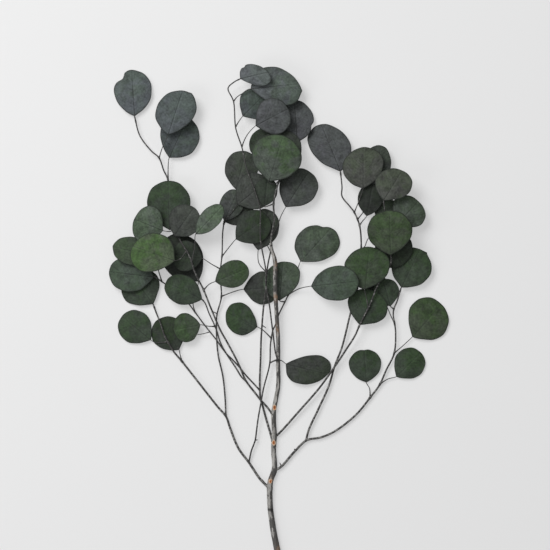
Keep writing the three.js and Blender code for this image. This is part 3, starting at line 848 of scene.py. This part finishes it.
def shade_group(name, inputs, outputs, build):
    """A shader node group with named sockets. inputs maps a name to its default, a number or a vector."""
    tree = bpy.data.node_groups.new(name, "ShaderNodeTree")
    bench = Bench(tree)
    for title, default in inputs.items():
        kind = "NodeSocketVector" if isinstance(default, tuple) else "NodeSocketFloat"
        socket = tree.interface.new_socket(title, in_out="INPUT", socket_type=kind)
        socket.default_value = default
    for title in outputs:
        tree.interface.new_socket(title, in_out="OUTPUT", socket_type="NodeSocketFloat")
    given = bench.outputs(bench.add("NodeGroupInput"))
    bench.add("NodeGroupOutput", build(bench, given))
    return tree


def mottle_group():
    """Uneven tone over a surface: large soft clouds and a fine grain, with 1 as the middle."""

    def build(bench, given):
        clouds = bench.noise(given["Vector"], given["Cloud Scale"], 3.0, 0.55)
        grain = bench.noise(given["Vector"], given["Grain Scale"], 3.0, 0.6)
        tone = (clouds - 0.5) * given["Clouds"] + (grain - 0.5) * given["Grain"] + 1.0
        return {"Tone": tone, "Cloud": clouds, "Relief": grain}

    inputs = {
        "Vector": (0.0, 0.0, 0.0), "Cloud Scale": 90.0, "Grain Scale": 700.0, "Clouds": 0.5, "Grain": 0.4,
    }
    return shade_group("Mottle", inputs, ["Tone", "Cloud", "Relief"], build)


def streak_group():
    """Narrow marks along the grain: the vector comes stretched along it."""

    def build(bench, given):
        fibres = bench.noise(given["Vector"], given["Scale"], 4.0, 0.65)
        half = given["Softness"] * 0.5
        mask = bench.between(fibres, given["Level"] - half, given["Level"] + half)
        return {"Mask": mask, "Relief": fibres}

    inputs = {"Vector": (0.0, 0.0, 0.0), "Scale": 500.0, "Level": 0.55, "Softness": 0.16}
    return shade_group("Streaks", inputs, ["Mask", "Relief"], build)


EFFECTS = {"Mottle": mottle_group, "Streaks": streak_group}


def surface(name, recipe, roughness, clouding, bump, specular):
    """A material from a recipe, which takes a bench and returns a colour, the clouds and a height.

    clouding is what the clouds add to the roughness, and bump is the relief's strength and depth.
    """
    material = bpy.data.materials.new(name)
    material.use_nodes = True
    bench = Bench(material.node_tree)
    tint, clouds, height = recipe(bench)
    relief = bench.add("ShaderNodeBump", {"Strength": bump[0], "Distance": bump[1], "Height": height})
    shader = bench.add(
        "ShaderNodeBsdfPrincipled",
        {
            "Base Color": tint,
            "Roughness": clouds * clouding + roughness,
            "Specular IOR Level": specular,
            "Normal": bench.outputs(relief)["Normal"],
        },
    )
    bench.add("ShaderNodeOutputMaterial", {"Surface": bench.outputs(shader)["BSDF"]})
    return material


def leaf_material(colours):
    """Dull preserved blade: greener towards the tip, greyer at the foot, with veins, a dark rim that is
    partly painted shade, and painted shade towards the edge.
    """

    def recipe(bench):
        place = bench.object_place()
        on_blade = bench.add("ShaderNodeSeparateXYZ", {"Vector": bench.attribute("on_blade", "Vector")})
        from_rib, along, outward = bench.outputs(on_blade).values()
        across = abs(from_rib)
        tipward = bench.attribute("tipward")
        fresh = bench.attribute("flush")
        mottle = bench.effect("Mottle", vector=place, cloud_scale=105, grain_scale=360, clouds=1.4, grain=1.4)

        # Side veins and the fibres that run with them
        climb = along - across * VEIN_SLOPE - across * across * VEIN_CURVE
        wander = bench.noise(place, *WANDERING) * VEIN_WANDER + bench.math("SIGN", from_rib) * VEIN_OFFSET
        turn = bench.math("FRACT", climb / VEIN_APART + wander)
        veins = 1.0 - bench.between(abs(turn - 0.5), 0.0, VEIN_HALF)
        veins = veins * bench.between(bench.noise(place, *VEIN_GAPS), 0.42, 0.62)
        way = {"X": climb, "Y": across * 0.35, "Z": bench.attribute("seed")}
        way = bench.outputs(bench.add("ShaderNodeCombineXYZ", way))["Vector"]
        fibres = (bench.noise(way, 0.5, 3.0, 0.6) - 0.5) * FIBRE_TONE

        # Midrib, fainter towards the tip, broken in places and paler on fresh blades
        broken = bench.between(bench.noise(place, *RIB_GAPS), 0.3, 0.6)
        midrib = 1.0 - bench.between(across, *MIDRIB_BAND)
        midrib = midrib * (1.0 - tipward * 0.45) * (broken * 0.55 + 0.3) * (1.0 - fresh * 0.7)
        beside = 1.0 - bench.between(abs(across - 1.5), 0.2, 1)

        # Green and bloom that drift over the blade
        drift = (bench.noise(place, *DRIFTING) - 0.5) * 3.2 + tipward
        green = bench.between(drift, 0.3, 0.9) * (fresh + 0.1)
        tint = bench.shaded(bench.attribute("tint", "Color"), bench.mix(green, PLAIN, colours.flush))
        bloom = bench.between(drift, 0.5, -0.2)
        tint = bench.shaded(tint, bench.mix(bloom, CLEAR_BLADE, colours.bloom))
        tint = bench.shaded(tint, mottle["Tone"] + fibres + beside * 0.1)
        tint = bench.coated(
            tint,
            (bench.between(bench.noise(place, *SPOTS), 0.56, 0.68) * SPOT_SHARE, colours.rib),
            (veins * VEIN_SHARE, colours.rib),
            (midrib, colours.rib),
            # Painted shade darkening towards the edge, and a thin dark rim that is partly painted shade of
            # the edge
            (bench.between(outward, *EDGE_SHADE_BAND) * EDGE_SHADE_SHARE, colours.rim),
            (bench.between(outward, *RIM_BAND) * RIM_AND_SHADE_SHARE, colours.rim),
            (bench.attribute("under") * UNDER_SHARE, UNDERSIDE),
        )
        return tint, mottle["Cloud"], mottle["Relief"] * 0.5 + fibres * 0.8 - veins * 0.5

    return surface("preserved_leaf", recipe, 0.52, clouding=0.25, bump=(0.6, 0.4 * MM), specular=0.25)


def bark_material(colours):
    """Weathered pale grey bark with dark furrows and patches, brown places and a dark ring, and painted shade
    on the stem's right side and in some stretches.
    """

    def recipe(bench):
        mottle = bench.effect("Mottle", vector=bench.object_place(), cloud_scale=150)
        furrows = bench.effect("Streaks", vector=bench.object_place((1, 0.13, 1)), scale=640)
        # Dark patches from noise, joined with the stem's darkening, part of which is painted shade on the
        # right side and in shaded stretches
        weathered = bench.noise(bench.object_place((1, 0.4, 1)), *WEATHERING)
        weathered = bench.between(weathered + bench.attribute("weather") * 0.2, 0.53, 0.6)
        thin = bench.attribute("patch") * bench.between(mottle["Cloud"], 0.35, 0.6)
        tint = bench.coated(
            bench.shaded(colours.bark, mottle["Tone"]),
            (furrows["Mask"] * FURROW_SHARE, colours.bark_streak),
            (weathered * WEATHER_AND_SHADE_SHARE, colours.bark_streak),
            (thin, colours.bark_patch),
            (bench.attribute("dark"), SOOT),
        )
        return tint, mottle["Cloud"], mottle["Relief"] - furrows["Mask"]

    return surface("grey_bark", recipe, 0.7, clouding=0.2, bump=(0.7, 0.6 * MM), specular=0.3)


def twig_material(colours):
    """Dark twig bark with pale worn places, more of them where the twig is old and thick."""

    def recipe(bench):
        place = bench.object_place()
        mottle = bench.effect("Mottle", vector=place, cloud_scale=160)
        worn = bench.noise(place, *WEAR) + bench.attribute("age") * 0.12
        tint = bench.coated(
            bench.shaded(colours.twig, mottle["Tone"]),
            (bench.between(worn, 0.56, 0.68) * WORN_SHARE, colours.twig_light),
            (bench.attribute("dark"), colours.rib),
        )
        return tint, mottle["Cloud"], mottle["Relief"]

    return surface("twig_bark", recipe, 0.5, clouding=0.3, bump=(0.5, 0.3 * MM), specular=0.35)


def bare_wood_material(name, core, ring_tint, lip, ring_count):
    """Bare wood, uneven from its middle to its rim, as the attribute ring goes from 0 to 1."""

    def recipe(bench):
        place = bench.object_place()
        mottle = bench.effect("Mottle", vector=place, cloud_scale=320)
        ring = (bench.noise(place, *RAGGED) - 0.5) * 0.9 + bench.attribute("ring")
        waves = bench.math("SINE", ring * (math.tau * ring_count))
        tint = bench.mix(bench.between(ring, 0.15, 0.5), core, ring_tint)
        tint = bench.mix(bench.between(ring, 0.5, 0.7), tint, lip)
        tint = bench.shaded(tint, mottle["Tone"])
        tint = bench.mix(bench.between(waves, 0.2, 1.0) * RING_SHARE, tint, RING_LINE)
        return tint, mottle["Cloud"], mottle["Relief"]

    return surface(name, recipe, 0.65, clouding=0.2, bump=(0.4, 0.3 * MM), specular=0.3)


class EUCALYPTUS_OT_main_stem(bpy.types.Operator):
    """Make the woody main stem with its bark and cut end"""

    bl_idname = "eucalyptus.main_stem"
    bl_label = "Main stem"

    SIDES = 28
    STEP = 1.3
    THICKER = 1.05
    FOOT_SWELL = 0.1
    FOOT_REACH = 6
    # Painted shade: how much darker the stem's right side is painted, and how much darkening is taken off
    # everywhere
    SHADED_SIDE = 1.1
    CLEAN = 0.2

    def radius_at(self, route, feet):
        """The stem's radius at a share of its route, swollen where a twig's foot is."""
        span = route.span()
        last = len(MAIN_STEM) - 1

        def radius(share):
            part = min(int(share * last), last - 1)
            here, there = MAIN_STEM[part][3], MAIN_STEM[part + 1][3]
            plain = (here + (there - here) * (share * last - part)) / 2
            swell = sum(bell((share - foot) * span, self.FOOT_REACH) for foot in feet)
            return plain * (self.THICKER + self.FOOT_SWELL * min(swell, 1))

        return radius

    def execute(self, context):
        form, colours = context.scene.branch_form, context.scene.branch_colours
        route = Route(MAIN_STEM)
        on_stem = [twig for twig in TWIGS.values() if twig.carrier == "main_stem"]
        feet = [share_near(route, Vector(twig.wood[0].route[0])) for twig in on_stem]
        radius_at = self.radius_at(route, feet)

        def relief(spot, turn):
            ridge = noise.noise(Vector((math.cos(turn) * 2.2, math.sin(turn) * 2.2, spot.y * 0.05)))
            knob = noise.noise(spot * 0.22)
            return (ridge * 0.7 + knob * 0.6) * form.bark_relief / MM

        bm, layers = mesh_with(patch="float", weather="float", dark="float", ring="float")
        shares = bent_tube(bm, route, radius_at, self.SIDES, self.STEP, relief)
        for vert, share in shares.items():
            spot = vert.co / MM - ORIGIN_SHIFT
            # Darkening of the bark: dark stretches, partly painted shade, and painted shade on the stem's
            # right side, away from the window light
            to_right = (spot.x - route.point(share).x) / radius_at(share)
            brown = (bell(math.hypot(spot.x - x, spot.y - y), reach) for x, y, reach in BROWN_PATCHES)
            dark = (much * bell(spot.y - y, reach) for y, reach, much in DARK_AND_SHADED_STRETCHES)
            vert[layers["patch"]] = min(1, sum(brown))
            vert[layers["weather"]] = sum(dark) + self.SHADED_SIDE * clamped(to_right * 1.6) - self.CLEAN
            vert[layers["dark"]] = 0.98 * bell(spot.y - BARK_RING, BARK_RING_REACH)
            vert[layers["ring"]] = 0 if len(vert.link_edges) == self.SIDES else 1
            vert.co.z = max(vert.co.z, 0)
        for face in bm.faces:
            if all(shares[vert] == 0 for vert in face.verts):
                face.material_index = 1
        cut = bare_wood_material("cut_wood", colours.cut, colours.cut, colours.bark_streak, 4)
        finished(bm, "main_stem_bark", ["main_stem"], [bark_material(colours), cut])
        return {"FINISHED"}


class EUCALYPTUS_OT_scars(bpy.types.Operator):
    """Make the pruning scars on the upper side of the stem"""

    bl_idname = "eucalyptus.scars"
    bl_label = "Pruning scars"

    SIDES = 32
    NARROWING = 0.88
    ROUNDING = 0.12
    # Steps from the lip inwards, each by its breadth and depth
    STEPS = ((0.16, -0.25), (0.12, -0.15), (0.2, 0.1))
    UNEVEN = 0.3
    SADDLE = 1.1

    def cap(self, bm):
        """The upper of the two large faces that aren't in place yet."""
        placed = bm.verts.layers.int["placed"]
        fresh = [face for face in bm.faces if not face.verts[0][placed] and len(face.verts) >= self.SIDES]
        return max(fresh, key=lambda face: face.calc_center_median().z)

    def execute(self, context):
        colours = context.scene.branch_colours
        bm, layers = mesh_with(ring="float")
        placed = bm.verts.layers.int["placed"]
        stem = [Route(MAIN_STEM)]
        for x, y, wide, long in SCARS:
            middle = Vector((x, y, 0))
            foot = nearest_on(stem, middle)
            bmesh.ops.create_cone(
                bm, cap_ends=True, segments=self.SIDES, radius1=1, radius2=self.NARROWING, depth=SCAR_TOP
            )
            edges = list(self.cap(bm).edges)
            bmesh.ops.bevel(
                bm, geom=edges, offset=self.ROUNDING, segments=3, profile=0.5, affect="EDGES", material=-1
            )
            top = self.cap(bm)
            for breadth, depth in self.STEPS:
                bmesh.ops.inset_region(bm, faces=[top], thickness=breadth, depth=depth)
            bmesh.ops.poke(bm, faces=[top])
            for vert in [vert for vert in bm.verts if not vert[placed]]:
                vert[layers["ring"]] = min(1, vert.co.xy.length)
                outward = Vector((vert.co.x, vert.co.y, 0)).normalized()
                uneven = 1 + self.UNEVEN * noise.noise(outward * 1.1 + middle)
                drop = self.SADDLE * vert.co.x**2
                vert.co.x *= uneven * wide / 2
                vert.co.y *= uneven * long / 2
                vert.co.z += foot.z + SCAR_TOP / 2 - drop
                vert.co = (vert.co + middle + ORIGIN_SHIFT) * MM
                vert[placed] = 1
        scar = bare_wood_material("scar_wood", colours.scar, colours.scar_ring, colours.scar_lip, 1.5)
        finished(bm, "pruning_scars", ["main_stem"], [scar])
        return {"FINISHED"}


class EUCALYPTUS_OT_twigs(bpy.types.Operator):
    """Make the wood and the leaf stalks of every twig"""

    bl_idname = "eucalyptus.twigs"
    bl_label = "Twigs and stalks"

    TWIG_SIDES = 12
    STALK_SIDES = 8
    STEP = 1.6
    # Flares at the foot: how much and how far
    STEM_FLARE = (0.6, 6.5)
    TWIG_FLARE = (0.35, 3.0)
    STALK_FLARE = (0.5, 3.0)
    KNOT_SHADE = 0.5
    DARKEST = 0.6
    # Diameters in millimetres between which the bark turns from young to old
    YOUNG_THICK = 1.6
    OLD_THICK = 3.4

    def wood(self, bm, layers, twig, routes, knot):
        """The twig's own wood, with a knot at each stalk of its first route."""
        for route, wood in zip(routes, twig.wood):
            main = route is routes[0]
            knots = [share_near(route, Vector(leaf.stalk[0])) for leaf in twig.leaves] if main else []
            span = route.span()
            flare = self.STEM_FLARE if main and twig.carrier == "main_stem" else self.TWIG_FLARE
            radius_at = knotted(wood.thick, knots, flare, knot, span)
            shares = bent_tube(bm, route, radius_at, self.TWIG_SIDES, self.STEP)
            for vert, share in shares.items():
                dark = self.KNOT_SHADE * sum(bell((share - at) * span, 1.2) for at in knots)
                vert[layers["dark"]] = min(dark, self.DARKEST)
                thick = wood.thick[0] + (wood.thick[1] - wood.thick[0]) * share
                age = (thick - self.YOUNG_THICK) / (self.OLD_THICK - self.YOUNG_THICK)
                vert[layers["age"]] = clamped(age)

    def execute(self, context):
        bark = twig_material(context.scene.branch_colours)
        for name, twig in TWIGS.items():
            bm, layers = mesh_with(age="float", dark="float")
            routes = wood_routes(name)
            self.wood(bm, layers, twig, routes, context.scene.branch_form.knot)
            for leaf in twig.leaves:
                route = stalk_route(leaf, routes)
                radius_at = knotted(STALK_THICK, [], self.STALK_FLARE, 0, route.span())
                bent_tube(bm, route, radius_at, self.STALK_SIDES, self.STEP)
            finished(bm, f"{name}_wood", [name], [bark])
        return {"FINISHED"}


class EUCALYPTUS_OT_leaves(bpy.types.Operator):
    """Make the blades of every twig"""

    bl_idname = "eucalyptus.leaves"
    bl_label = "Leaf blades"

    CELLS = 32
    BESIDE_MIDRIB = 0.03
    INSIDE_RIM = 0.972
    # Waves of the outline: how many, how high as a share of the radius, and how many times the blade's phase
    RIM_WAVES = ((5, 0.009, 1), (9, 0.006, 2))
    RIPPLES = 7
    CREASE_REACH = 0.9

    def line_place(self, value):
        """Moves a grid line: close ones beside the midrib and inside the rim, the others even."""
        half = self.CELLS // 2
        line = round(abs(value) * half)
        if line == 0:
            return 0.0
        if line == half:
            place = 1.0
        else:
            between = (line - 1) / (half - 2)
            place = self.BESIDE_MIDRIB + (self.INSIDE_RIM - self.BESIDE_MIDRIB) * between
        return math.copysign(place, value)

    def lift(self, form, place, from_rib, radius, turn):
        """Millimetres by which a place stands over the middle surface: pucker, ripples and the crease."""
        pucker = noise.noise(place * 0.1) + 0.4 * noise.noise(place * 0.25)
        ripple = radius**3 * math.sin(turn) * 0.5
        crease = bell(from_rib, self.CREASE_REACH) * (1 - radius**4)
        return (form.pucker * pucker + form.ripple * ripple - form.crease * crease) / MM

    def blade(self, bm, layers, leaf, tint, form):
        """One blade: two grids drawn out to the leaf's outline and bridged round the rim."""
        shape = Blade(leaf)
        seed = shape.phase
        rims = []
        for under in (0, 1):
            verts = bmesh.ops.create_grid(bm, x_segments=self.CELLS, y_segments=self.CELLS, size=1)["verts"]
            if under:
                faces = list({face for vert in verts for face in vert.link_faces})
                bmesh.ops.reverse_faces(bm, faces=faces)
            rims += [edge for edge in {e for vert in verts for e in vert.link_edges} if edge.is_boundary]
            for vert in verts:
                x, y = self.line_place(vert.co.x), self.line_place(vert.co.y)
                u, v = x * math.sqrt(1 - y * y / 2), y * math.sqrt(1 - x * x / 2)
                radius, angle = math.hypot(u, v), math.atan2(v, u)
                waves = (high * math.sin(many * angle + times * seed) for many, high, times in self.RIM_WAVES)
                uneven = 1 + radius * sum(waves)
                across, along = shape.spot(radius, angle)
                from_rib = across * leaf.width / 2
                place = shape.place(radius * uneven, angle)
                lift = self.lift(form, place, from_rib, radius, self.RIPPLES * angle + 3 * seed)
                lift += (0.5 - under) * form.blade_thickness / MM
                vert.co = (place + shape.facing * lift + ORIGIN_SHIFT) * MM
                vert[layers["tint"]] = (*tint, 1)
                vert[layers["flush"]] = leaf.flush
                vert[layers["under"]] = under
                vert[layers["on_blade"]] = (from_rib, along * shape.length, radius)
                vert[layers["tipward"]] = along
                vert[layers["seed"]] = seed
        bmesh.ops.bridge_loops(bm, edges=rims)

    def execute(self, context):
        scene = context.scene
        finish = leaf_material(scene.branch_colours)
        kinds = dict.fromkeys(("flush", "under", "tipward", "seed"), "float")
        for name, twig in TWIGS.items():
            bm, layers = mesh_with(tint="float_color", on_blade="float_vector", **kinds)
            for leaf in twig.leaves:
                self.blade(bm, layers, leaf, getattr(scene.leaf_tones, leaf.tone), scene.branch_form)
            finished(bm, f"{name}_leaves", [name], [finish])
        return {"FINISHED"}


class EUCALYPTUS_OT_studio(bpy.types.Operator):
    """Make the pale floor, the soft lights and the camera that looks straight down"""

    bl_idname = "eucalyptus.studio"
    bl_label = "Floor, lights and camera"

    PHOTO_WIDTH = 715 * MM
    PHOTO_CENTRE = Vector((-6.2, 50.2, 0)) * MM
    LEAF_LEVEL = 10 * MM
    SENSOR = 36
    FAR = 50
    FLOOR_REACH = 6
    FLOOR_DROP = 0.1 * MM
    # Lamps: name, turn and tilt in degrees, distance and size in metres, by the setting with their share
    LAMPS = {
        "key": ("window", 130, 46, 3.2, 1.7),
        "side": ("side", 200, 32, 3.0, 1.6),
        "top": ("top", 110, 84, 3.4, 1.6),
    }

    def floor(self, scene, studio):
        """A pale sheet that glows a little, so that shadows on it stay light."""
        bm = bmesh.new()
        bmesh.ops.create_grid(bm, x_segments=1, y_segments=1, size=self.FLOOR_REACH)
        bmesh.ops.translate(bm, verts=bm.verts, vec=(0, 0, -self.FLOOR_DROP))
        mesh = bpy.data.meshes.new("floor")
        bm.to_mesh(mesh)
        bm.free()
        paper = bpy.data.materials.new("pale_floor")
        paper.use_nodes = True
        shader = paper.node_tree.nodes["Principled BSDF"]
        looks = {
            "Base Color": (*(tone * (1 - studio.glow) for tone in studio.floor), 1),
            "Emission Color": (*studio.floor, 1),
            "Emission Strength": studio.glow,
            "Roughness": 0.9,
            "Specular IOR Level": 0.1,
        }
        for name, value in looks.items():
            shader.inputs[name].default_value = value
        mesh.materials.append(paper)
        floor = bpy.data.objects.new("floor", mesh)
        scene.collection.objects.link(floor)

    def soft_light(self, scene, share, name, turn, tilt, distance, size):
        """A square lamp aimed at the branch that gives the floor a share of its light."""
        turn, tilt = math.radians(turn), math.radians(tilt)
        lamp = bpy.data.lights.new(name, "AREA")
        lamp.size = size
        lamp.energy = share * (math.pi * distance) ** 2 / math.sin(tilt)
        soft = bpy.data.objects.new(name, lamp)
        way = Vector((math.cos(tilt) * math.cos(turn), math.cos(tilt) * math.sin(turn), math.sin(tilt)))
        soft.location = way * distance
        soft.rotation_euler = way.to_track_quat("Z", "Y").to_euler()
        scene.collection.objects.link(soft)

    def execute(self, context):
        scene, studio = context.scene, context.scene.studio_settings
        self.floor(scene, studio)
        for setting, lamp in self.LAMPS.items():
            self.soft_light(scene, getattr(studio, setting), *lamp)

        world = bpy.data.worlds.new("studio_air")
        world.use_nodes = True
        air = world.node_tree.nodes["Background"]
        air.inputs["Color"].default_value = (*SKY, 1)
        air.inputs["Strength"].default_value = studio.fill
        scene.world = world
        scene.view_settings.view_transform = "Standard"

        lens = bpy.data.cameras.new("camera")
        lens.sensor_width = self.SENSOR
        lens.lens = self.SENSOR * studio.camera_height / self.PHOTO_WIDTH
        lens.clip_end = self.FAR
        camera = bpy.data.objects.new("camera", lens)
        camera.location = self.PHOTO_CENTRE + UP * (self.LEAF_LEVEL + studio.camera_height)
        scene.collection.objects.link(camera)
        scene.camera = camera
        return {"FINISHED"}


class EUCALYPTUS_PT_branch(bpy.types.Panel):
    """Lists the steps and settings of the branch"""

    bl_idname = "EUCALYPTUS_PT_branch"
    bl_label = "Eucalyptus branch"
    bl_space_type = "VIEW_3D"
    bl_region_type = "UI"
    bl_category = "Branch"

    def draw(self, context):
        layout = self.layout
        for operator in OPERATORS:
            layout.operator(operator.bl_idname)
        for group_name in SETTINGS:
            group = getattr(context.scene, group_name)
            box = layout.box()
            for name in group.bl_rna.properties.keys():
                if name not in ("rna_type", "name"):
                    box.prop(group, name)


OPERATORS = (
    EUCALYPTUS_OT_studio,
    EUCALYPTUS_OT_main_stem,
    EUCALYPTUS_OT_scars,
    EUCALYPTUS_OT_twigs,
    EUCALYPTUS_OT_leaves,
)
SETTINGS = {
    "branch_form": BranchForm,
    "branch_colours": BranchColours,
    "leaf_tones": LeafTones,
    "studio_settings": StudioSettings,
}


def register():
    for name, group in SETTINGS.items():
        bpy.utils.register_class(group)
        setattr(bpy.types.Scene, name, bpy.props.PointerProperty(type=group))
    for operator in OPERATORS:
        bpy.utils.register_class(operator)
    bpy.utils.register_class(EUCALYPTUS_PT_branch)


def unregister():
    bpy.utils.unregister_class(EUCALYPTUS_PT_branch)
    for operator in reversed(OPERATORS):
        bpy.utils.unregister_class(operator)
    for name, group in reversed(SETTINGS.items()):
        delattr(bpy.types.Scene, name)
        bpy.utils.unregister_class(group)


def main():
    """Builds the branch and its studio."""
    register()
    bpy.ops.eucalyptus.studio()
    bpy.ops.eucalyptus.main_stem()
    bpy.ops.eucalyptus.scars()
    bpy.ops.eucalyptus.twigs()
    bpy.ops.eucalyptus.leaves()
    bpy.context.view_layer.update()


if __name__ == "__main__":
    main()
